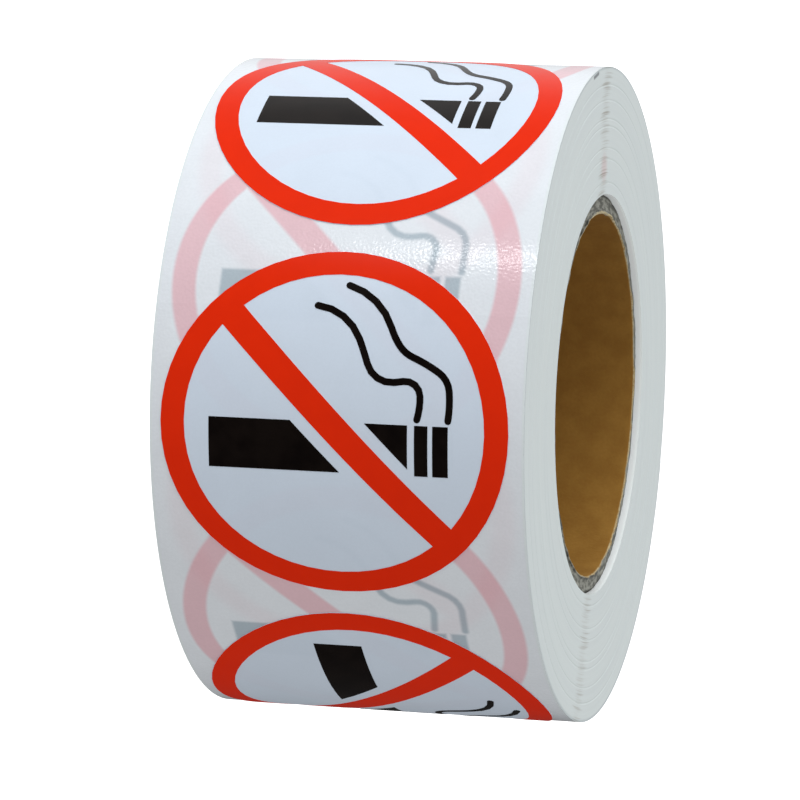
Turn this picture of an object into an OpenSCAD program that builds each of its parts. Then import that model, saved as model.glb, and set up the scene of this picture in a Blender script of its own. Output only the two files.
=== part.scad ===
// Roll of round no-smoking stickers, wound on a cardboard core.
// The roll stands on its end. Its axis is +Z and the origin is the middle of the lower end face.
//
// The strip is wound from the core outwards, and its free end, the tail, lies on the back.
// Angles around the roll are counted from the front (-Y) towards -X, in degrees, which is also the way
// that the strip runs inwards from the tail.
// Artwork is drawn flat, in label coordinates: the first runs along the axis (+Z), the second around the
// roll in the direction of the angles. It is then wrapped on to the outer turn.

/* [Labels] */
// Diameter of a die-cut round label
label_d = 38.1; // [32:0.1:42]
// Bare liner between one label and the next
label_gap = 3.175; // [2:0.005:8]
// Bare liner between a label and the strip's edge
edge_margin = 1.45; // [1:0.05:4]
// How far the row of labels lies off the middle of the strip
label_shift = -0.2; // [-0.6:0.05:0.6]
// Angle of the label that faces the front
front_label_at = -7.5; // [-30:0.5:30]
// Thickness of the white face stock with its adhesive
face_t = 0.07; // [0.05:0.01:0.12]
// Thickness of the printed colour
print_t = 0.03; // [0.02:0.01:0.05]

/* [Roll] */
// Radius of the wound strip at its tail, without the labels on it
roll_r = 36.8; // [32:0.1:46]
// Thickness of the release liner
liner_t = 0.06; // [0.05:0.01:0.1]
// Turns that lie a little deep and show as lines on each end face
line_count = 7; // [4:1:12]
// How far a line may lie off its even place, as a share of the lines' spacing
line_stray = 0.3; // [0:0.05:0.45]
// Width of such a line
line_w = 0.3; // [0.2:0.02:0.5]
// Depth of such a line
line_depth = 0.03; // [0.02:0.01:0.1]

/* [Core] */
// Outer diameter of the cardboard core
core_od = 45; // [40:0.5:50]
// Wall of the core
core_wall = 2.1; // [1.5:0.1:3]
// How far the core's ends lie inside the strip's edges
core_recess = 0.75; // [0.25:0.05:2]
// Bevel of the core's cut edges
core_bevel = 0.3; // [0.1:0.05:0.5]

/* [Pictogram] */
// Label diameter that this artwork is drawn for; it is scaled to the label in use
art_d = 38.1; // [32:0.1:42]
// Width of the red ring
ring_w = 2.6; // [1.5:0.05:4]
// Width of the red slash
slash_w = 3.03; // [2:0.01:4]
// White gap on each side of the slash
slash_gap = 1.37; // [0.8:0.01:2]
// White gap between the ring and the black shape that comes nearest to it
ring_clear = 0.78; // [0.4:0.01:2]
// Left end of the cigarette, left of the label's centre
cig_left = 13.7; // [12:0.1:15]
// Upper edge of the cigarette, above the label's centre
cig_top = 0.65; // [0:0.05:1.5]
// Height of the cigarette
cig_h = 5.4; // [4:0.05:6]
// Right end of the cigarette's paper, right of the label's centre
paper_right = 8.12; // [7:0.01:9]
// White gap between the paper and the ember
ember_gap = 0.76; // [0.4:0.01:1]
// Width of the ember's inner stripe
ember_w = 1.45; // [1:0.05:2]
// White gap between the ember's stripes
stripe_gap = 0.52; // [0.3:0.01:0.8]
// Width of the outer stripe
tip_w = 1.68; // [1:0.01:2]
// Width of the smoke lines
smoke_w = 0.75; // [0.5:0.05:1]

/* [Hidden] */
$fn = 180;

// Labels are counted from the tail inwards, from 0. The third faces the front.
front_label = 2;
// The second was printed a quarter turn off
sideways_label = 1;

label_r = label_d / 2;
label_t = face_t + print_t;
turn_t = liner_t + label_t;
web_w = label_d + 2 * edge_margin;
core_r = core_od / 2;
core_len = web_w - 2 * core_recess;

// Wrapping flat lengths on the outer turn
deg = 180 / PI;
wrap_r = roll_r + label_t / 2;
pitch_deg = (label_d + label_gap) / wrap_r * deg;
half_label_deg = label_r / wrap_r * deg;
// As many labels as the outer turn holds, the last one partly under the tail
label_count = ceil(360 / pitch_deg);
tail_at = label_at(0) - pitch_deg / 2;
label_z = web_w / 2 + label_shift;

// Radial reach of the solids that cut a label's outline out of the skin of the roll
reach = 1;
cut_from = wrap_r * cos(half_label_deg) - reach;
cut_to = wrap_r + reach;

// Artwork, drawn for a label of art_d
art = label_d / art_d;
ring_r = art_d / 2 - ring_w;
slash_half = slash_w / 2;
cig_bottom = cig_top - cig_h;
ember_at = paper_right + ember_gap;
tip_at = ember_at + ember_w + stripe_gap;

// Each smoke line: where it starts, its first heading, and its runs of [length, turn in degrees]
smoke_in_start = [-2.35, 12.95];
smoke_in_heading = -5;
smoke_in_runs = [[6.2, -60], [2.8, -6], [3.75, 78], [1.05, 3], [2.7, -97], [2.5, -19]];
smoke_out_start = [0.87, 15.28];
smoke_out_heading = -15;
smoke_out_runs = [[7, -53], [2.1, 15], [1.9, 31], [3.3, -11], [2.35, -51], [3.1, -14]];

// Points on the round outlines and curves
disc_n = 60;
moon_n = 26;
chord_n = 6;
run_n = 4;
cap_n = 5;

// Seed of the lines' uneven places
line_seed = 5;

function label_at(i) = front_label_at + (i - front_label) * pitch_deg;

// How far a label reaches from the tail, and whether it goes under it
function label_end(i) = pitch_deg * (i + 0.5) + half_label_deg;
function tucked(i) = label_end(i) > 360;

function art_turn(i) = i == sideways_label ? -90 : 0;

function spin(pts, turn) = [for (p = pts)
    [p[0] * cos(turn) - p[1] * sin(turn), p[0] * sin(turn) + p[1] * cos(turn)]];

// Flat label coordinates as seen from outside the roll, shortened as the surface curves away
function wrap(pts) = [for (p = pts) [-wrap_r * sin(p[1] / wrap_r * deg), p[0]]];

function disc_pts(r) = [for (i = [0:disc_n - 1]) [r * cos(360 * i / disc_n), r * sin(360 * i / disc_n)]];

// The part of a disc of radius r that lies beyond a straight edge at the distance off
function moon_pts(r, off) = let (half = acos(off / r)) concat(
    [for (i = [0:moon_n]) let (t = half * (2 * i / moon_n - 1)) [r * cos(t), r * sin(t)]],
    [for (i = [1:chord_n - 1]) [off, r * sin(half) * (1 - 2 * i / chord_n)]]);

function box_pts(left, right, bottom, top) = [[left, bottom], [right, bottom], [right, top], [left, top]];

// The middle of a line that starts at a point with a heading and follows runs, as [x, y, heading]
function small_steps(runs) = [for (run = runs, k = [1:run_n]) run / run_n];
function step_from(p, h, step) = p + step[0] * [cos(h + step[1] / 2), sin(h + step[1] / 2)];
function trail(start, heading, steps) = [
    for (i = 0, p = start, h = heading;
         i <= len(steps);
         p = i < len(steps) ? step_from(p, h, steps[i]) : p,
         h = i < len(steps) ? h + steps[i][1] : h,
         i = i + 1)
        [p[0], p[1], h]];

// The outline of a line of width w with round ends
function beside(q, off) = [q[0] - off * sin(q[2]), q[1] + off * cos(q[2])];
function around(q, r, t) = [q[0] + r * cos(q[2] + t), q[1] + r * sin(q[2] + t)];
function stroke_pts(line, w) = let (first = line[0], last = line[len(line) - 1]) concat(
    [for (q = line) beside(q, w / 2)],
    [for (k = [1:cap_n - 1]) around(last, w / 2, 90 - 180 * k / cap_n)],
    [for (i = [len(line) - 1:-1:0]) beside(line[i], -w / 2)],
    [for (k = [1:cap_n - 1]) around(first, w / 2, 270 - 180 * k / cap_n)]);

smoke_in_pts = stroke_pts(trail(smoke_in_start, smoke_in_heading, small_steps(smoke_in_runs)), smoke_w);
smoke_out_pts = stroke_pts(trail(smoke_out_start, smoke_out_heading, small_steps(smoke_out_runs)), smoke_w);

// The black shapes are fitted inside the ring, with its clearance at the point that reaches furthest
outer_pts = concat([[-cig_left, cig_bottom], [tip_at + tip_w, cig_bottom]], smoke_in_pts, smoke_out_pts);
black_fit = (ring_r - ring_clear) / max([for (p = outer_pts) norm(p)]);

// Where the slash's white edges cross the label's middle line
slash_clear = (slash_half + slash_gap) * sqrt(2) / black_fit;

// The cigarette's paper on both sides of the slash
paper_left_pts = [[-cig_left, cig_bottom], [-slash_clear - cig_bottom, cig_bottom],
                  [-slash_clear - cig_top, cig_top], [-cig_left, cig_top]];
paper_right_pts = [[paper_right, slash_clear - paper_right], [paper_right, cig_top],
                   [slash_clear - cig_top, cig_top]];
ember_pts = box_pts(ember_at, ember_at + ember_w, cig_bottom, cig_top);
tip_pts = box_pts(tip_at, tip_at + tip_w, cig_bottom, cig_top);

black_shapes = [paper_left_pts, paper_right_pts, ember_pts, tip_pts, smoke_in_pts, smoke_out_pts];

// Half a disc, on the side of the tail's line where the strip's last half turn lies, or on the other
module half_disc(r, last_half) intersection() {
    circle(r);
    translate([-r - reach, last_half ? -r - reach : 0]) square([2 * (r + reach), r + reach]);
}

// Cross-section of the wound strip. Half a turn in from the tail its centre moves by half a turn's
// thickness, so the outline is a smooth spiral with one step, at the tail. last_r is the radius of the
// last half turn: roll_r, or a turn's thickness less for the layer that lies under the tail.
module wound_outline(last_r, grow) rotate([0, 0, -90 - tail_at]) {
    half_disc(last_r + grow, true);
    translate([-turn_t / 2, 0]) half_disc(roll_r - turn_t / 2 + grow, false);
}

// The thin layer between two heights over the liner, where label i lies
module skin(i, low, high) linear_extrude(web_w) difference() {
    wound_outline(tucked(i) ? roll_r - turn_t : roll_r, high);
    wound_outline(tucked(i) ? roll_r - turn_t : roll_r, low);
}

// Carries a flat shape to label i's place and cuts it out of the layer there
module laid_on(i, low, high) intersection() {
    rotate([0, 0, -label_at(i)]) translate([0, 0, label_z]) rotate([90, 0, 0])
        translate([0, 0, cut_from]) linear_extrude(cut_to - cut_from) children();
    skin(i, low, high);
}

module label(i) color("#eef1f6") laid_on(i, 0, face_t) polygon(wrap(disc_pts(label_r)));

// The space that a label and its print need under the tail
module label_pocket(i) laid_on(i, 0, label_t) polygon(wrap(disc_pts(label_r)));

module red_shape(turn) difference() {
    polygon(wrap(disc_pts(label_r)));
    for (side = [45, 225]) polygon(wrap(spin(moon_pts(ring_r, slash_half) * art, side + turn)));
}

module black_shape(turn) for (pts = black_shapes) polygon(wrap(spin(pts * black_fit * art, turn)));

module red_print() color("#d22a0c") for (i = [0:label_count - 1])
    laid_on(i, face_t, label_t) red_shape(art_turn(i));

module black_print() color("#15120f") for (i = [0:label_count - 1])
    laid_on(i, face_t, label_t) black_shape(art_turn(i));

// Radii of the lines on the end faces: spaced unevenly, as turns shift in winding
line_space = (roll_r - turn_t - core_r) / (line_count + 1);
line_off = rands(-line_stray, line_stray, line_count, line_seed);
function line_at(k) = core_r + line_space * (k + line_off[k - 1]);

// The lines on the end face at the height z, cut inwards from it. side is 1 for the upper face.
module end_lines(z, side) rotate_extrude() for (k = [1:line_count]) translate([line_at(k), z])
    polygon([[0, -side * line_depth], [line_w, side * line_depth], [-line_w, side * line_depth]]);

module web() color("#dfe6ea") difference() {
    linear_extrude(web_w) difference() {
        wound_outline(roll_r, 0);
        circle(core_r);
    }
    end_lines(web_w, 1);
    end_lines(0, -1);
    for (i = [0:label_count - 1]) if (tucked(i)) label_pocket(i);
}

module core() color("#8a6538") translate([0, 0, core_recess]) rotate_extrude() polygon([
    [core_r - core_wall, core_bevel], [core_r - core_wall + core_bevel, 0],
    [core_r - core_bevel, 0], [core_r, core_bevel],
    [core_r, core_len - core_bevel], [core_r - core_bevel, core_len],
    [core_r - core_wall + core_bevel, core_len], [core_r - core_wall, core_len - core_bevel]]);

core();
web();
for (i = [0:label_count - 1]) label(i);
red_print();
black_print();
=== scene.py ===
# %% [markdown]
# A roll of round no-smoking stickers, wound on a cardboard core and standing on its end.
#
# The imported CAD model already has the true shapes: the core, the wound strip, six die-cut labels on the
# outer turn and their printed colour. This lesson gives them their looks. Lengths are in metres, and a
# number in millimetres is multiplied by MM. The roll's axis is +Z and its front faces -Y.

# %% Load the frame and keep its box
import math

import bpy
from mathutils import Matrix, Vector
from mathutils.noise import noise as soft_random


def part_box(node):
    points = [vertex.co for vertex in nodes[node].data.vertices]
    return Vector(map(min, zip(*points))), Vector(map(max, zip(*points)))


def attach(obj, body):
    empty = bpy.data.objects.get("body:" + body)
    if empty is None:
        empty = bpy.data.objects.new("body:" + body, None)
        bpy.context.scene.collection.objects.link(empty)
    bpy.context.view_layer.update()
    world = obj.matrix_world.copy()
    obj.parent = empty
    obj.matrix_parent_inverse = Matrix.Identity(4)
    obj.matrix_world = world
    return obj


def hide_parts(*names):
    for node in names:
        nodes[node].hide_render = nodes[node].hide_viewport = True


MM = 0.001

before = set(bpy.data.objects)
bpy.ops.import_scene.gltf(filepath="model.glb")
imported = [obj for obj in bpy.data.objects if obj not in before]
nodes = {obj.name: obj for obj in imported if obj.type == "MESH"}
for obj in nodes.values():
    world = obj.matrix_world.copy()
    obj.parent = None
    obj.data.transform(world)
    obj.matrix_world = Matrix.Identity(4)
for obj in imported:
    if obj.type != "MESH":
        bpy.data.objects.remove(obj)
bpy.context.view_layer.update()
print("nodes:", ", ".join(sorted(nodes)))

# %% [markdown]
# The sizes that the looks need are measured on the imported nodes, so that they follow the model when it
# changes. The sizes of the artwork can't be measured that way, and they repeat the part's own values.

# %% Sizes
web_low, web_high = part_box("web")
core_low, core_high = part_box("core")
ROLL_R = web_high.x
WEB_W = web_high.z
CORE_R = core_high.x
CORE_WALL = 2.1 * MM
label_low, label_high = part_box("label_3")
LABEL_Z = (label_low.z + label_high.z) / 2
LABEL_R = (label_high.z - label_low.z) / 2
print(f"roll {2 * ROLL_R / MM:.1f} mm across and {WEB_W / MM:.1f} mm high, core {2 * CORE_R / MM:.1f} mm")

# %% [markdown]
# The photograph was taken from a little in front of the roll's open end, through a long lens. Here the
# roll stands on its end, so the camera is turned a quarter: the picture's right is the roll's +Z. The
# place, the aim and the lens were found by fitting the outlines of the labels and of the roll.

# %% Camera
CAMERA_AT = Vector((0, -467.4, 142.4)) * MM
CAMERA_AIM = Vector((1.66, 0, 17.76)) * MM
CAMERA_LENS = 191.4
CAMERA_ROLL = math.radians(2.6)
PICTURE_UP = Vector((-1, 0, 0))


def aim(place, target, up, roll=0):
    """The matrix of a camera or light at a place that looks at a target, with a side that points up."""
    forward = (target - place).normalized()
    right = forward.cross(up).normalized()
    turn = Matrix((right, right.cross(forward), -forward)).transposed()
    return Matrix.Translation(place) @ (turn @ Matrix.Rotation(roll, 3, "Z")).to_4x4()


bpy.ops.object.camera_add()
camera = bpy.context.object
camera.name = "camera"
camera.matrix_world = aim(CAMERA_AT, CAMERA_AIM, PICTURE_UP, CAMERA_ROLL)
camera.data.lens = CAMERA_LENS
camera.data.sensor_width = 36
camera.data.clip_start = 10 * MM
bpy.context.scene.camera = camera
print("camera", round((CAMERA_AIM - CAMERA_AT).length / MM), "mm from its aim")

# %% [markdown]
# A material is a network of small sums. A few helpers keep the cells short: one adds a node, one feeds a
# socket from a number or from another node, and the others each add one kind of sum.

# %% Helpers for node trees
def add(tree, kind, **settings):
    """Adds a node to a tree and sets its properties."""
    made = tree.nodes.new(kind)
    for name, value in settings.items():
        setattr(made, name, value)
    return made


def feed(tree, socket, value):
    """Links an output to a socket, or sets the socket to a plain value."""
    if isinstance(value, bpy.types.NodeSocket):
        tree.links.new(value, socket)
    else:
        socket.default_value = value


def calc(tree, operation, *values, clamp=False):
    """A sum of numbers, as an output to feed on."""
    made = add(tree, "ShaderNodeMath", operation=operation, use_clamp=clamp)
    for socket, value in zip(made.inputs, values):
        feed(tree, socket, value)
    return made.outputs[0]


def vector_calc(tree, operation, *values, out="Vector"):
    """A sum of vectors, as an output to feed on."""
    made = add(tree, "ShaderNodeVectorMath", operation=operation)
    for socket, value in zip(made.inputs, values):
        feed(tree, socket, value)
    return made.outputs[out]


def split(tree, vector):
    """The three parts of a vector."""
    made = add(tree, "ShaderNodeSeparateXYZ")
    feed(tree, made.inputs[0], vector)
    return made.outputs


def ramp(tree, value, low, high, to_low=0.0, to_high=1.0):
    """Turns the stretch from low to high into the stretch from to_low to to_high, smoothly."""
    made = add(tree, "ShaderNodeMapRange", interpolation_type="SMOOTHSTEP")
    for socket, number in zip(made.inputs, (value, low, high, to_low, to_high)):
        feed(tree, socket, number)
    return made.outputs[0]


def mix(tree, share, first, second, blend="MIX"):
    """Mixes two colours by a share from 0 to 1."""
    made = add(tree, "ShaderNodeMix", data_type="RGBA", blend_type=blend)
    for socket, value in zip((made.inputs[0], made.inputs[6], made.inputs[7]), (share, first, second)):
        feed(tree, socket, value)
    return made.outputs[2]


def number_mix(tree, share, first, second):
    """Mixes two numbers by a share from 0 to 1."""
    made = add(tree, "ShaderNodeMix", data_type="FLOAT")
    for socket, value in zip((made.inputs[0], made.inputs[2], made.inputs[3]), (share, first, second)):
        feed(tree, socket, value)
    return made.outputs[0]


# %% [markdown]
# The photograph has a plain white ground with no shadow. The pale floor only shows to the camera, so that
# it neither lights nor shades the roll. It glows a little by itself, which keeps it an even white.

# %% Floor
FLOOR_SIZE = 4.0
FLOOR_GAP = 0.02 * MM
GROUND_GLOW = 0.97

bpy.ops.object.select_all(action="DESELECT")
bpy.ops.mesh.primitive_plane_add(size=FLOOR_SIZE, location=(0, 0, -FLOOR_GAP))
floor = bpy.context.object
floor.name = "floor"
floor_paint = bpy.data.materials.new("pale_floor")
floor_paint.use_nodes = True
floor_shader = floor_paint.node_tree.nodes["Principled BSDF"]
floor_shader.inputs["Base Color"].default_value = (0.9, 0.9, 0.9, 1)
floor_shader.inputs["Roughness"].default_value = 0.9
floor_shader.inputs["Specular IOR Level"].default_value = 0
floor_shader.inputs["Emission Color"].default_value = (1, 1, 1, 1)
floor_shader.inputs["Emission Strength"].default_value = GROUND_GLOW
floor.data.materials.append(floor_paint)
for ray in ("diffuse", "glossy", "transmission", "shadow"):
    setattr(floor, f"visible_{ray}", False)
print("floor", FLOOR_SIZE, "m wide")

# %% [markdown]
# The side of the roll is brightest where it faces the picture's top, which is -X here, and keeps about
# half of that light from the front down to the picture's bottom. So an even soft light comes from all
# round, and one big soft lamp stands off to -X, a little to the front.
#
# What the glossy inks reflect is another matter. They are deep black at the front and only turn milky
# towards the top, so the room behind the camera was dark and a bright panel hung over the roll. The open
# end is seen at a flat angle and mirrors what stands behind the roll, which was a bright backdrop. The
# Light Path node tells these rays apart: the camera sees white, paper is lit evenly, and gloss sees the
# panel and the backdrop.

# %% World
EVEN_LIGHT = 0.57
ROOM_DARK = 0.04
PANEL_GLOW = 0.50
BACKDROP_GLOW = 0.95
PANEL_AT = math.radians(100)
PANEL_SOFT = (0.50, 0.72)
BACKDROP_SOFT = (0.2, 0.7)
LEVEL_SOFT = (0.1, -0.1)
TABLE_SOFT = (-0.3, 0.15)

world = bpy.data.worlds.new("studio")
bpy.context.scene.world = world
world.use_nodes = True
sky = world.node_tree
background = sky.nodes["Background"]
background.inputs["Color"].default_value = (1, 1, 1, 1)
from_where = add(sky, "ShaderNodeTexCoord").outputs["Generated"]
paths = add(sky, "ShaderNodeLightPath").outputs
to_panel = (-math.sin(PANEL_AT), -math.cos(PANEL_AT), 0)
panel = ramp(sky, vector_calc(sky, "DOT_PRODUCT", from_where, to_panel, out="Value"),
             *PANEL_SOFT, ROOM_DARK, PANEL_GLOW)
where = split(sky, from_where)
hidden = calc(sky, "MULTIPLY", ramp(sky, where["Z"], *LEVEL_SOFT), ramp(sky, where["X"], *TABLE_SOFT, 0.3, 1))
backdrop = ramp(sky, where["Y"], *BACKDROP_SOFT)
backdrop = calc(sky, "MULTIPLY", backdrop, calc(sky, "SUBTRACT", 1, hidden))
mirrored = number_mix(sky, backdrop, panel, BACKDROP_GLOW)
glow = number_mix(sky, paths["Is Glossy Ray"], EVEN_LIGHT, mirrored)
feed(sky, background.inputs["Strength"], number_mix(sky, paths["Is Camera Ray"], glow, GROUND_GLOW))
bpy.context.scene.view_settings.view_transform = "Standard"
print("world ready")

# %% [markdown]
# The big lamp is a disc that spans 28 degrees to each side as the roll sees it. It lights paper and leaves
# gloss alone, because the panel in the world already stands for its reflection. A second lamp does the
# opposite: it is small and bright, and only gloss shows it, as the glitter on the bare liner between two
# labels. It stands where the camera's line, mirrored at the glitter, points.

# %% Lamps
KEY_AT = math.radians(70)
KEY_RISE = math.radians(15)
KEY_SPAN = math.radians(28)
KEY_AWAY = 1.2
KEY_SIZE = 2 * KEY_AWAY * math.tan(KEY_SPAN)
KEY_LIGHT = 0.53
KEY_TINT = (0.97, 1.0, 1.03)
GLITTER_AIM = Vector((-13.9, -34.1, 36.5)) * MM
GLITTER_AWAY = 0.3
GLITTER_SIZE = 10 * MM
GLITTER_GLOW = 165.0


def lamp(name, shape, size, place, target, up, watts):
    """An area lamp at a place, facing a target."""
    bpy.ops.object.light_add(type="AREA")
    made = bpy.context.object
    made.name = name
    made.data.shape = shape
    made.data.size, made.data.size_y = size
    made.data.energy = watts
    made.matrix_world = aim(place, target, up)
    made.visible_camera = False
    return made


key_way = Vector((-math.sin(KEY_AT) * math.cos(KEY_RISE), -math.cos(KEY_AT) * math.cos(KEY_RISE),
                  math.sin(KEY_RISE)))
middle = Vector((0, 0, LABEL_Z))
# A lamp of an even glow gives off pi watts for each unit of glow and square metre
key_glow = KEY_LIGHT / math.sin(KEY_SPAN) ** 2
key_watts = math.pi * math.pi * (KEY_SIZE / 2) ** 2 * key_glow
key = lamp("key_lamp", "DISK", (KEY_SIZE, KEY_SIZE), middle + key_way * KEY_AWAY, middle,
           Vector((0, 0, 1)), key_watts)
key.data.color = KEY_TINT
key.visible_glossy = False
outward = Vector((GLITTER_AIM.x, GLITTER_AIM.y, 0)).normalized()
mirror_way = (GLITTER_AIM - CAMERA_AT).normalized().reflect(outward)
glitter_watts = math.pi * GLITTER_SIZE ** 2 * GLITTER_GLOW
glitter = lamp("glitter_lamp", "SQUARE", (GLITTER_SIZE, GLITTER_SIZE),
               GLITTER_AIM + mirror_way * GLITTER_AWAY, GLITTER_AIM, PICTURE_UP, glitter_watts)
glitter.visible_diffuse = False
print(f"key lamp {key_watts:.1f} W, glitter lamp {1000 * glitter_watts:.1f} mW")

# %% [markdown]
# Three papers lie on the roll's side, and all their patterns follow the strip. So the first node group
# works out where a point lies on the strip: how far around the roll from the tail, and how far along the
# axis from the labels' middle, both in millimetres. It also gives the distance from the axis, a mask of
# the surfaces that face along the axis, and the place itself.

# %% Group: place on the roll
TAIL_AT = math.radians(-167.95)
WRAP_R_MM = 36.85
PITCH_MM = 41.275


def new_group(name, inputs, outputs):
    """An empty node group with number inputs and outputs, and its two end nodes."""
    tree = bpy.data.node_groups.new(name, "ShaderNodeTree")
    for label, value in inputs:
        socket = tree.interface.new_socket(label, in_out="INPUT", socket_type="NodeSocketFloat")
        socket.default_value = value
    for label in outputs:
        kind = "NodeSocketVector" if label == "Place" else "NodeSocketFloat"
        tree.interface.new_socket(label, in_out="OUTPUT", socket_type=kind)
    return tree, add(tree, "NodeGroupInput").outputs, add(tree, "NodeGroupOutput").inputs


def use(tree, group, **values):
    """Places a group in a tree with its own values, and returns its outputs."""
    made = add(tree, "ShaderNodeGroup", node_tree=group)
    for name, value in values.items():
        feed(tree, made.inputs[name], value)
    return made.outputs


roll_place, _, out = new_group("roll_place", [], ["Around", "Along", "Radius", "End", "Place"])
coords = add(roll_place, "ShaderNodeTexCoord")
in_mm = vector_calc(roll_place, "MULTIPLY", coords.outputs["Object"], (1 / MM, 1 / MM, 1 / MM))
x, y, z = split(roll_place, in_mm)
# Counted from the front (-Y) towards -X
angle = calc(roll_place, "ARCTAN2", calc(roll_place, "MULTIPLY", x, -1), calc(roll_place, "MULTIPLY", y, -1))
from_tail = calc(roll_place, "WRAP", calc(roll_place, "SUBTRACT", angle, TAIL_AT), math.tau, 0)
feed(roll_place, out["Around"], calc(roll_place, "MULTIPLY", from_tail, WRAP_R_MM))
feed(roll_place, out["Along"], calc(roll_place, "SUBTRACT", z, LABEL_Z / MM))
flat = vector_calc(roll_place, "MULTIPLY", in_mm, (1, 1, 0))
feed(roll_place, out["Radius"], vector_calc(roll_place, "LENGTH", flat, out="Value"))
upright = calc(roll_place, "ABSOLUTE", split(roll_place, coords.outputs["Normal"])["Z"])
feed(roll_place, out["End"], ramp(roll_place, upright, 0.4, 0.8))
feed(roll_place, out["Place"], in_mm)
print(roll_place.name, len(roll_place.nodes), "nodes")

# %% [markdown]
# The liner is thin enough that the print of the next turn shows through it, pale and soft. That print
# can't be seen as a solid, so it is drawn in the material: this group holds the sign as simple shapes,
# each as a distance in millimetres that is below zero inside the shape. The smallest distance of several
# shapes is their union. The two smoke lines are chains of short straight strokes with round ends.

# %% Group: pictogram
RING_W = 2.6
SLASH_W = 3.03
SLASH_GAP = 1.37
CIGARETTE = (-13.7, 8.12)
EMBER = (8.88, 10.33)
TIP = (10.85, 12.53)
CIG_BOTTOM, CIG_TOP = -4.75, 0.65
SMOKE_W = 0.75
SMOKE_LINES = (
    ((-2.35, 12.95), -5, ((6.2, -60), (2.8, -6), (3.75, 78), (1.05, 3), (2.7, -97), (2.5, -19))),
    ((0.87, 15.28), -15, ((7, -53), (2.1, 15), (1.9, 31), (3.3, -11), (2.35, -51), (3.1, -14))))
STROKE_TURN = 22


def trail(start, heading, runs):
    """The points along a line that starts with a heading and follows runs of (length, turn)."""
    points = [Vector((*start, 0))]
    for length, turn in runs:
        steps = math.ceil(abs(turn) / STROKE_TURN) or 1
        for _ in range(steps):
            halfway = math.radians(heading + turn / steps / 2)
            points.append(points[-1] + length / steps * Vector((math.cos(halfway), math.sin(halfway), 0)))
            heading += turn / steps
    return points


def smallest(tree, distances):
    """The union of shapes, from their distances."""
    result = distances[0]
    for distance in distances[1:]:
        result = calc(tree, "MINIMUM", result, distance)
    return result


pictogram, into, out = new_group("pictogram", [("Along", 0), ("Around", 0), ("Blur", 0.3)],
                                 ["Red", "Black"])
at = add(pictogram, "ShaderNodeCombineXYZ")
feed(pictogram, at.inputs["X"], into["Along"])
feed(pictogram, at.inputs["Y"], into["Around"])
at = at.outputs[0]


def band(tree, value, centre, half):
    """Distance to a straight band of a value."""
    return calc(tree, "SUBTRACT", calc(tree, "ABSOLUTE", calc(tree, "SUBTRACT", value, centre)), half)


def box(tree, left, right):
    """Distance to a piece of the cigarette between two places along it."""
    wide = band(tree, into["Along"], (left + right) / 2, (right - left) / 2)
    high = band(tree, into["Around"], (CIG_BOTTOM + CIG_TOP) / 2, (CIG_TOP - CIG_BOTTOM) / 2)
    return calc(tree, "MAXIMUM", wide, high)


def stroke(tree, start, end):
    """Distance to a straight stroke with round ends."""
    run = end - start
    off = vector_calc(tree, "SUBTRACT", at, start)
    share = vector_calc(tree, "DOT_PRODUCT", off, run / run.length_squared, out="Value")
    share = calc(tree, "ADD", share, 0, clamp=True)
    near = add(tree, "ShaderNodeVectorMath", operation="SCALE")
    near.inputs[0].default_value = run
    feed(tree, near.inputs["Scale"], share)
    gap = vector_calc(tree, "DISTANCE", off, near.outputs[0], out="Value")
    return calc(tree, "SUBTRACT", gap, SMOKE_W / 2)


def inside(tree, distance, blur):
    """Turns a distance into a mask, with a soft edge."""
    half = calc(tree, "MULTIPLY", blur, 0.5)
    return ramp(tree, distance, half, calc(tree, "MULTIPLY", half, -1))


def beside_slash(tree, point, half):
    """Distance to a straight band of a half width along the slash."""
    off = vector_calc(tree, "DOT_PRODUCT", point, (math.sqrt(0.5), math.sqrt(0.5), 0), out="Value")
    return band(tree, off, 0, half)


def red_shapes(tree, point):
    """Distances to the ring and to the slash, which ends at the label's edge."""
    label_r = LABEL_R / MM
    centre_gap = vector_calc(tree, "LENGTH", point, out="Value")
    ring = band(tree, centre_gap, label_r - RING_W / 2, RING_W / 2)
    on_label = calc(tree, "SUBTRACT", centre_gap, label_r)
    return [ring, calc(tree, "MAXIMUM", beside_slash(tree, point, SLASH_W / 2), on_label)]


red = smallest(pictogram, red_shapes(pictogram, at))
feed(pictogram, out["Red"], inside(pictogram, red, into["Blur"]))
slash_white = beside_slash(pictogram, at, SLASH_W / 2 + SLASH_GAP)
paper = calc(pictogram, "MAXIMUM", box(pictogram, *CIGARETTE), calc(pictogram, "MULTIPLY", slash_white, -1))
black = [paper, box(pictogram, *EMBER), box(pictogram, *TIP)]
for line in SMOKE_LINES:
    points = trail(*line)
    black += [stroke(pictogram, start, end) for start, end in zip(points, points[1:])]
feed(pictogram, out["Black"], inside(pictogram, smallest(pictogram, black), into["Blur"]))
print(pictogram.name, len(pictogram.nodes), "nodes,", len(black), "black shapes")

# %% [markdown]
# Every paper has a fine grain: tiny hills that break up a reflection, and a soft mottling. One group makes
# both, and each material asks for its own sizes, in millimetres.

# %% Group: paper grain
def patches(tree, place, size, detail):
    """Noise from 0 to 1 in patches of a size that comes from a socket."""
    made = add(tree, "ShaderNodeTexNoise", noise_dimensions="3D")
    feed(tree, made.inputs["Vector"], place)
    feed(tree, made.inputs["Scale"], calc(tree, "DIVIDE", 1, size))
    made.inputs["Detail"].default_value = detail
    return made.outputs["Fac"]


paper_grain, into, out = new_group("paper_grain", [("Size", 0.2), ("Spread", 4)], ["Hills", "Mottle"])
grain_place = use(paper_grain, roll_place)["Place"]
feed(paper_grain, out["Hills"], patches(paper_grain, grain_place, into["Size"], 0.5))
feed(paper_grain, out["Mottle"], patches(paper_grain, grain_place, into["Spread"], 4))
print(paper_grain.name, "ready")

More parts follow.
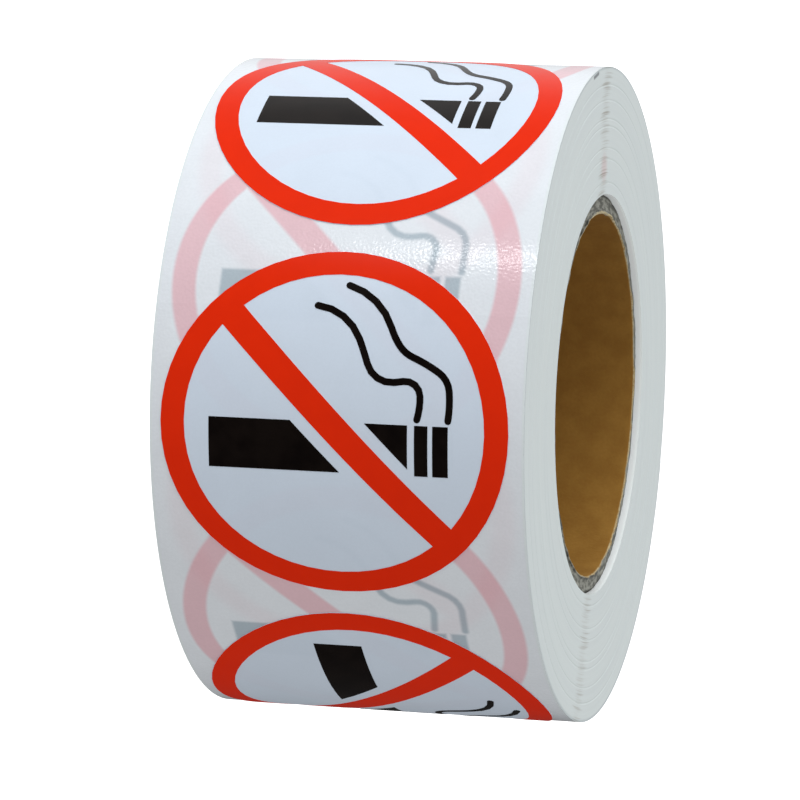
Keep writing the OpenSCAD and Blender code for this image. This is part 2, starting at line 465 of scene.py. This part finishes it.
# %% [markdown]
# Anything wound shows its layers on its ends, the strip as well as the core. The layers are too fine to
# model each: the strip has over a hundred turns. This group draws noise along the radius, so that it comes
# out as circles, and lets it change on the way round, so that each circle comes and goes. A small Wander
# gives long arcs, and a big one short dashes.

# %% Group: turn lines
turn_lines, into, out = new_group("turn_lines", [("Width", 0.35), ("Wander", 0.7)], ["Lines"])
spot = use(turn_lines, roll_place)
way = vector_calc(turn_lines, "NORMALIZE", vector_calc(turn_lines, "MULTIPLY", spot["Place"], (1, 1, 0)))
wandering = add(turn_lines, "ShaderNodeVectorMath", operation="SCALE")
feed(turn_lines, wandering.inputs[0], way)
feed(turn_lines, wandering.inputs["Scale"], into["Wander"])
deep = add(turn_lines, "ShaderNodeCombineXYZ")
feed(turn_lines, deep.inputs["Z"], calc(turn_lines, "DIVIDE", spot["Radius"], into["Width"]))
rings = add(turn_lines, "ShaderNodeTexNoise", noise_dimensions="3D")
feed(turn_lines, rings.inputs["Vector"], vector_calc(turn_lines, "ADD", wandering.outputs[0], deep.outputs[0]))
rings.inputs["Scale"].default_value = 1
rings.inputs["Detail"].default_value = 2
feed(turn_lines, out["Lines"], rings.outputs["Fac"])
print(turn_lines.name, "ready")

# %% [markdown]
# A material starts with a Principled shader. Its constant values are set on its own sockets, and only
# what changes over the surface comes from nodes. Most surfaces are one colour that is dimmed here and
# there, so one helper multiplies a colour by a tint where a mask says so, and another by a noise.

# %% Helpers for materials
def material(name, **values):
    """A new material, its tree and its shader, with constant values on the shader's sockets."""
    made = bpy.data.materials.new(name)
    made.use_nodes = True
    shader = made.node_tree.nodes["Principled BSDF"]
    for label, value in values.items():
        shader.inputs[label.replace("_", " ")].default_value = value
    return made, made.node_tree, shader


def tint(tree, colour, mask, shade):
    """Multiplies a colour by a shade where a mask is 1."""
    return mix(tree, mask, colour, shade, blend="MULTIPLY")


def mottle(tree, colour, value, share, shade=(0, 0, 0, 1)):
    """Moves a colour towards a shade by up to a share, as a noise from 0 to 1 goes."""
    return mix(tree, calc(tree, "MULTIPLY", ramp(tree, value, 0.3, 0.7), share), colour, shade)


def bump(tree, shader, height, depth):
    """Hills of a depth in metres under a shader's normal."""
    made = add(tree, "ShaderNodeBump")
    made.inputs["Strength"].default_value = 1
    made.inputs["Distance"].default_value = depth
    feed(tree, made.inputs["Height"], height)
    feed(tree, shader.inputs["Normal"], made.outputs[0])


def dress(node, paint):
    """Gives a CAD node its finished material."""
    nodes[node].data.materials.clear()
    nodes[node].data.materials.append(paint)


# %% [markdown]
# The print of the strip below also shows on the labels, far fainter than on the bare liner. Both papers
# ask this helper for it. The labels of each turn lie further round than those of the turn above, because
# the roll's girth isn't a whole number of label pitches.

# %% Helper: the print of a turn below
LAYER_SHIFT = 16.0
LAYER_LIFT = 0.25
GHOST_RED = (1.0, 0.64, 0.66, 1)
GHOST_BLACK = (0.55, 0.62, 0.655, 1)


def place_below(tree, spot, turns):
    """Where a point lies on the label that is some turns below it, along the axis and around."""
    shifted = calc(tree, "SUBTRACT", spot["Around"], turns * LAYER_SHIFT)
    around = calc(tree, "SUBTRACT", calc(tree, "WRAP", shifted, PITCH_MM, 0), PITCH_MM / 2)
    return calc(tree, "SUBTRACT", spot["Along"], turns * LAYER_LIFT), around


def show_through(tree, colour, spot, turns, blur, share):
    """Lays the print of the strip some turns down over a colour, pale and soft."""
    along, around = place_below(tree, spot, turns)
    print_below = use(tree, pictogram, Along=along, Around=around, Blur=blur)
    for ink, shade in (("Red", GHOST_RED), ("Black", GHOST_BLACK)):
        colour = tint(tree, colour, calc(tree, "MULTIPLY", print_below[ink], share), shade)
    return colour


def deep_red(tree, colour, spot, turns, blur, share):
    """Lays only the ring and the slash of the strip some turns down over a colour."""
    flat = add(tree, "ShaderNodeCombineXYZ")
    for socket, value in zip(flat.inputs, place_below(tree, spot, turns)):
        feed(tree, socket, value)
    red = smallest(tree, red_shapes(tree, flat.outputs[0]))
    return tint(tree, colour, calc(tree, "MULTIPLY", inside(tree, red, blur), share), GHOST_RED)


# %% [markdown]
# The release liner is silicone-coated paper: glossy, bluish white and a little see-through. Its fine grain
# is what makes a reflection glitter. Its end faces are over a hundred cut edges pressed together. They are
# duller and a shade greyer than the side, with faint circles and a small smudge on the rim. Across the ends
# lie two rough grey streaks of short dashes, across from each other: a painted reflection, of the kind that
# fine circles give. A painted shade darkens the outer rim of each end, and the side turns greyer near each
# end as painted shade of the rounded edge. The inside of the bore is the first turn, seen over the core's
# end. Its colour is a darker grey, painted shade on this recessed wall, and a painted glow stands for the
# light that comes through its cut edge.

# %% Material: release liner
LINER_WHITE = (0.855, 0.895, 0.94, 1)
LINER_SHINE = 0.3
LINER_GLOSS, END_GLOSS = 0.17, 0.55
END_WHITE = (0.80, 0.87, 0.865, 1)
# Width in mm of the painted shade of the rounded edge, on the side next to each end:
EDGE_W = 0.45
# Painted shade and painted glow of the bore's wall:
BORE_PAINTED_SHADE = (0.64, 0.66, 0.66, 1)
BORE_PAINTED_GLOW = (0.24, 0.25, 0.25, 1)
# Painted shade along the outer rim of each end, its width in mm and its colour:
RIM_W = 0.45
RIM_PAINTED_SHADE = (0.72, 0.74, 0.76, 1)
# Painted reflection: two streaks of dark dashes on the ends, their places, width and colour:
STREAKS = ((-1, -3.9, 0), (1, -2.9, -0.18))
STREAK_W = 2.4
STREAK_PAINTED_REFLECTION = (0.54, 0.48, 0.42, 1)
BLUSH_AT = (-25.3, -3.4, 41.0)
BLUSH_SHADE = (1, 0.84, 0.84, 1)
SMUDGE_FROM, SMUDGE_TO = Vector((-34.7, -10.6, 41)), Vector((-35.4, -8.4, 41))
SMUDGE_SHADE = (0.33, 0.33, 0.35, 1)

liner, tree, shader = material("release_liner", Emission_Strength=1, Specular_IOR_Level=LINER_SHINE)
spot = use(tree, roll_place)
grain = use(tree, paper_grain, Size=0.3, Spread=3.5)
side = mottle(tree, LINER_WHITE, grain["Mottle"], 0.025)
side = deep_red(tree, side, spot, 2, 1.8, 0.15)
side = show_through(tree, side, spot, 1, 0.5, 0.95)
side = mottle(tree, side, grain["Hills"], 0.02)
# Painted shade and painted glow: the bore's wall is a darker grey, and it glows a little as light through its
# cut edge would make it.
bore = ramp(tree, spot["Radius"], ROLL_R / MM - 1, ROLL_R / MM - 3)
side = mix(tree, bore, side, BORE_PAINTED_SHADE)
bore_painted_glow = calc(tree, "MULTIPLY", bore, calc(tree, "SUBTRACT", 1, spot["End"]))
feed(tree, shader.inputs["Emission Color"], mix(tree, bore_painted_glow, (0, 0, 0, 1), BORE_PAINTED_GLOW))

fine = use(tree, turn_lines, Width=0.3)["Lines"]
wide = use(tree, turn_lines, Width=2.2)["Lines"]
face = mottle(tree, END_WHITE, wide, 0.04, (0.45, 0.50, 0.62, 1))
face = mottle(tree, face, fine, 0.02)
ticks = use(tree, turn_lines, Width=0.2)["Lines"]
wander = use(tree, turn_lines, Width=2.5)["Lines"]
place = split(tree, spot["Place"])
# Painted reflection: two streaks of short dark dashes that follow the turns, one on each half of the end.
for half, streak_y, slant in STREAKS:
    line_y = calc(tree, "MULTIPLY_ADD", calc(tree, "SUBTRACT", spot["Radius"], 29), slant, streak_y)
    line_y = calc(tree, "ADD", line_y, calc(tree, "MULTIPLY_ADD", wander, 3, -1.5))
    line_y = calc(tree, "ADD", line_y, calc(tree, "MULTIPLY_ADD", fine, 5, -2.5))
    off = calc(tree, "ABSOLUTE", calc(tree, "SUBTRACT", place["Y"], line_y))
    off = calc(tree, "ADD", off, calc(tree, "MULTIPLY_ADD", ticks, -3, 1.5))
    streak_reflection = calc(tree, "MULTIPLY", ramp(tree, off, STREAK_W, 0), ramp(tree, ticks, 0.44, 0.76, 0.14, 1))
    streak_reflection = calc(tree, "MULTIPLY", streak_reflection, ramp(tree, wide, 0.35, 0.6, 0.4, 1))
    this_half = calc(tree, "GREATER_THAN", calc(tree, "MULTIPLY", place["X"], half), 0)
    face = tint(tree, face, calc(tree, "MULTIPLY", streak_reflection, this_half), STREAK_PAINTED_REFLECTION)
# Painted shade along the outer rim of each end.
face = tint(tree, face, ramp(tree, spot["Radius"], ROLL_R / MM - RIM_W, ROLL_R / MM), RIM_PAINTED_SHADE)
blush = vector_calc(tree, "DISTANCE", spot["Place"], BLUSH_AT, out="Value")
face = tint(tree, face, ramp(tree, blush, 2.2, 0.4), BLUSH_SHADE)
smudge_run = SMUDGE_TO - SMUDGE_FROM
off = vector_calc(tree, "SUBTRACT", spot["Place"], SMUDGE_FROM)
share = vector_calc(tree, "DOT_PRODUCT", off, smudge_run / smudge_run.length_squared, out="Value")
on_run = add(tree, "ShaderNodeVectorMath", operation="SCALE")
on_run.inputs[0].default_value = smudge_run
feed(tree, on_run.inputs["Scale"], calc(tree, "ADD", share, 0, clamp=True))
smudge = vector_calc(tree, "DISTANCE", off, on_run.outputs[0], out="Value")
face = tint(tree, face, ramp(tree, smudge, 0.3, 0.08), SMUDGE_SHADE)

half_w = WEB_W / MM / 2
off_middle = calc(tree, "ABSOLUTE", calc(tree, "SUBTRACT", place["Z"], half_w))
# Painted shade of the rounded edge: the side turns greyer near each end.
rounded_edge_shade = ramp(tree, off_middle, half_w - EDGE_W, half_w, 0, 0.7)
side = mix(tree, rounded_edge_shade, side, END_WHITE)
feed(tree, shader.inputs["Base Color"], mix(tree, spot["End"], side, face))
feed(tree, shader.inputs["Roughness"], number_mix(tree, spot["End"], LINER_GLOSS, END_GLOSS))
hills = number_mix(tree, spot["End"], grain["Hills"], calc(tree, "MULTIPLY", fine, 0.2))
bump(tree, shader, hills, 0.02 * MM)
dress("web", liner)
print("release liner:", len(tree.nodes), "nodes")

# %% [markdown]
# The labels are coated paper, bluer and a little darker than the liner, and nearly smooth.

# %% Material: label face
LABEL_WHITE = (0.73, 0.825, 0.945, 1)

face_stock, tree, shader = material("label_face", Roughness=0.38)
spot = use(tree, roll_place)
grain = use(tree, paper_grain, Size=0.25, Spread=5)
white = mottle(tree, LABEL_WHITE, grain["Mottle"], 0.02)
white = show_through(tree, white, spot, 1, 0.8, 0.05)
feed(tree, shader.inputs["Base Color"], mottle(tree, white, grain["Hills"], 0.012))
bump(tree, shader, grain["Hills"], 0.0012 * MM)
for name in nodes:
    if name.startswith("label"):
        dress(name, face_stock)

# %% [markdown]
# The inks are thin glossy films. Each is one strong colour, with the slight cloudiness that a printed
# solid area has, where the paper under it takes up the ink unevenly.

# %% Materials: inks
INKS = (("red_print", "red_ink", (0.86, 0.025, 0.0005, 1), (0.64, 0.012, 0.0005, 1), 0.10, 0.1),
        ("black_print", "black_ink", (0.004, 0.002, 0.0015, 1), (0.013, 0.008, 0.006, 1), 0.45, 0.25))

for node, name, colour, cloud, share, shine in INKS:
    ink, tree, shader = material(name, Roughness=0.26, Specular_IOR_Level=shine)
    grain = use(tree, paper_grain, Size=0.3, Spread=2.5)
    feed(tree, shader.inputs["Base Color"], mottle(tree, colour, grain["Mottle"], share, cloud))
    bump(tree, shader, grain["Hills"], 0.0012 * MM)
    dress(node, ink)

# %% [markdown]
# The core is a tube of many layers of board, cut to length with a blade that pushes up a rough lip. The
# CAD core has the true size with clean bevels. The visible one is turned from the same section: a plane is
# stretched to the wall's section, its corners are rounded, and cuts near its ends give it more points.
# Then its outline is spun round the axis.

# %% Core tube
CORE_STEPS = 300
CORNER = 0.25 * MM
END_CUTS = (0.5, 0.8, 1.4, 3.0)
WALL_CUTS = (0.4, 0.7, 1.1, 1.5)

inner_r = CORE_R - CORE_WALL
bpy.ops.object.select_all(action="DESELECT")
bpy.ops.mesh.primitive_plane_add(size=1)
tube = bpy.context.object
tube.name = "core_tube"
for vertex in tube.data.vertices:
    across, up = vertex.co.x + 0.5, vertex.co.y + 0.5
    vertex.co = (inner_r + CORE_WALL * across, 0, core_low.z + (core_high.z - core_low.z) * up)
bpy.ops.object.mode_set(mode="EDIT")
bpy.ops.mesh.select_all(action="SELECT")
bpy.ops.mesh.bevel(offset=CORNER, segments=3, affect="VERTICES")
cuts = [((inner_r + cut * MM, 0, 0), (1, 0, 0)) for cut in WALL_CUTS]
cuts += [((0, 0, core_low.z + cut * MM), (0, 0, 1)) for cut in END_CUTS]
cuts += [((0, 0, core_high.z - cut * MM), (0, 0, 1)) for cut in END_CUTS]
for place, normal in cuts:
    bpy.ops.mesh.select_all(action="SELECT")
    bpy.ops.mesh.bisect(plane_co=place, plane_no=normal)
bpy.ops.mesh.select_all(action="SELECT")
bpy.ops.mesh.dissolve_faces()
bpy.ops.mesh.select_all(action="SELECT")
bpy.ops.mesh.delete(type="ONLY_FACE")
bpy.ops.mesh.select_all(action="SELECT")
bpy.ops.mesh.spin(steps=CORE_STEPS, angle=math.tau, center=(0, 0, 0), axis=(0, 0, 1), use_auto_merge=True)
bpy.ops.mesh.select_all(action="SELECT")
bpy.ops.mesh.remove_doubles(threshold=0.001 * MM)
bpy.ops.mesh.normals_make_consistent(inside=False)
bpy.ops.object.mode_set(mode="OBJECT")
print("core tube:", len(tube.data.vertices), "points,", len(tube.data.polygons), "faces")

# %% [markdown]
# Now the cut ends are made uneven by a soft noise, which is the same each time. It fades out a little way
# in from each end. The blade came through at the inner edge and pushed up a low burr there, which hides part
# of the cut behind it when it is seen at a flat angle.

# %% Rough cut of the core's ends
CUT_DEPTH = 0.5 * MM
CUT_ROUGH = 0.09 * MM
LIP_W = 0.45 * MM
LIP_ROUGH = 0.17 * MM
LIP_RISE = 0.36 * MM
LIP_PUSH = 0.3 * MM

for vertex in tube.data.vertices:
    flat_r = vertex.co.xy.length
    end_gap = min(vertex.co.z - core_low.z, core_high.z - vertex.co.z)
    near = max(0, 1 - end_gap / CUT_DEPTH)
    if near:
        way = Vector((vertex.co.x, vertex.co.y, 0)) / flat_r
        side_of = 1 if vertex.co.z > WEB_W / 2 else -1
        slow = soft_random(way * 11 + Vector((0, 0, flat_r / MM + side_of * 7)))
        quick = soft_random(way * 47 + Vector((0, 0, side_of * 5)))
        vertex.co.z += side_of * near * CUT_ROUGH * (slow + 0.7 * quick)
        lip = max(0, 1 - (flat_r - inner_r) / LIP_W)
        vertex.co += way * near * lip * LIP_ROUGH * (0.35 + quick + 0.6 * slow)
        vertex.co -= way * near * lip * LIP_PUSH * max(0, -way.x) ** 12
        vertex.co.z += side_of * near * lip ** 0.5 * LIP_RISE * (1 + 0.35 * slow)
bpy.ops.object.shade_smooth_by_angle(angle=math.radians(40))
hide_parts("core")
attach(tube, "root")
print("core tube ends roughened")

# %% [markdown]
# Inside, the core is lined with brown kraft paper, cloudy and matte. The cut shows grey board in layers,
# with torn fibres and a pale lip at the inner edge where the kraft's light core comes out. Painted shade
# darkens the hollow just behind the lip and the cut's outer edge, where the board meets the strip.

# %% Material: core board
KRAFT = (0.355, 0.184, 0.036, 1)
KRAFT_DARK = (0.235, 0.106, 0.016, 1)
BOARD_GREY = (0.44, 0.44, 0.385, 1)
BOARD_DARK = (0.05, 0.05, 0.045, 1)
LIP_PALE = (0.62, 0.52, 0.30, 1)
# Painted shade in the hollow behind the lip and in the gap at the board's outer edge:
BOARD_PAINTED_SHADE = (0.2, 0.2, 0.19, 1)

board, tree, shader = material("core_board", Roughness=0.85, Specular_IOR_Level=0.2)
spot = use(tree, roll_place)
grain = use(tree, paper_grain, Size=0.35, Spread=2.5)
fibre = use(tree, paper_grain, Size=0.22, Spread=0.9)
kraft = mottle(tree, KRAFT, grain["Mottle"], 0.45, KRAFT_DARK)
kraft = mottle(tree, kraft, grain["Hills"], 0.15, KRAFT_DARK)
torn = ramp(tree, use(tree, turn_lines, Width=0.45, Wander=14)["Lines"], 0.4, 0.62)
grey = mix(tree, calc(tree, "MULTIPLY", torn, 0.65), BOARD_GREY, BOARD_DARK)
grey = mottle(tree, grey, fibre["Hills"], 0.3, BOARD_DARK)
core_mid = (core_low.z + core_high.z) / 2 / MM
core_half = (core_high.z - core_low.z) / 2 / MM
off_middle = calc(tree, "ABSOLUTE", calc(tree, "SUBTRACT", split(tree, spot["Place"])["Z"], core_mid))
near_end = ramp(tree, off_middle, core_half + 0.06, core_half + 0.2)
# Painted shade in the hollow just behind the lip.
hollow = calc(tree, "MULTIPLY", near_end, ramp(tree, spot["Radius"], inner_r / MM + 0.2, inner_r / MM + 0.35))
hollow_painted_shade = calc(tree, "MULTIPLY", hollow, ramp(tree, fibre["Mottle"], 0.4, 0.6, 0.4, 1))
lip_r = calc(tree, "MULTIPLY_ADD", fibre["Mottle"], 0.35, inner_r / MM)
near_end = calc(tree, "MULTIPLY", near_end, ramp(tree, fibre["Hills"], 0.3, 0.6, 0.45, 1))
lip = calc(tree, "MULTIPLY", near_end, ramp(tree, calc(tree, "SUBTRACT", spot["Radius"], lip_r), 0.08, -0.08))
board_colour = mix(tree, spot["End"], kraft, grey)
board_colour = tint(tree, board_colour, hollow_painted_shade, BOARD_PAINTED_SHADE)
board_colour = mix(tree, lip, board_colour, LIP_PALE)
# Painted shade where the board meets the strip.
gap = ramp(tree, spot["Radius"], CORE_R / MM - 0.5, CORE_R / MM - 0.15)
board_colour = tint(tree, board_colour, gap, BOARD_PAINTED_SHADE)
feed(tree, shader.inputs["Base Color"], board_colour)
bump(tree, shader, grain["Hills"], 0.02 * MM)
dress("core", board)
tube.data.materials.append(board)
